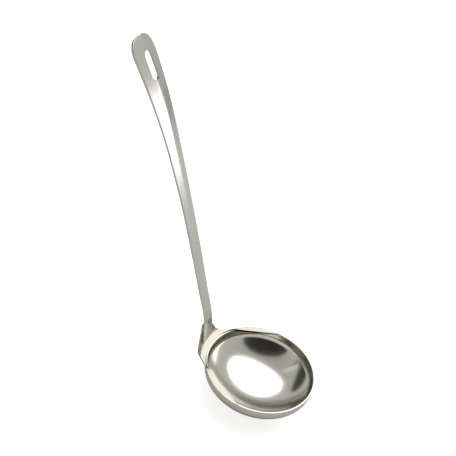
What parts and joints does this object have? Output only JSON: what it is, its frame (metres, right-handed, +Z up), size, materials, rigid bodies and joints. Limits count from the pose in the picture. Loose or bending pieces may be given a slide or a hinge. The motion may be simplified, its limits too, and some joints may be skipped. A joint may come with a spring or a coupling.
{
  "type": "soup ladle",
  "caption": "Stainless soup ladle: round drawn bowl with an ear, and a long ridged strip handle with a hanging slot.",
  "frame": {"origin": "lowest point of the bowl's outside, on the bowl's axis", "axes": "+Z up along the bowl's axis, out of its mouth; the handle rises and leans toward -X; the mirror plane is XZ"},
  "size_m": [0.1916, 0.09, 0.2634],
  "materials": {
    "bowl_steel": "polished stainless steel",
    "handle_steel": "satin polished stainless steel",
    "weld_steel": "bare fused steel, hidden in the lap"
  },
  "bodies": {
    "root": {"bowl": "bowl_steel", "handle": "handle_steel", "spot_welds": "weld_steel"}
  },
  "joints": []
}
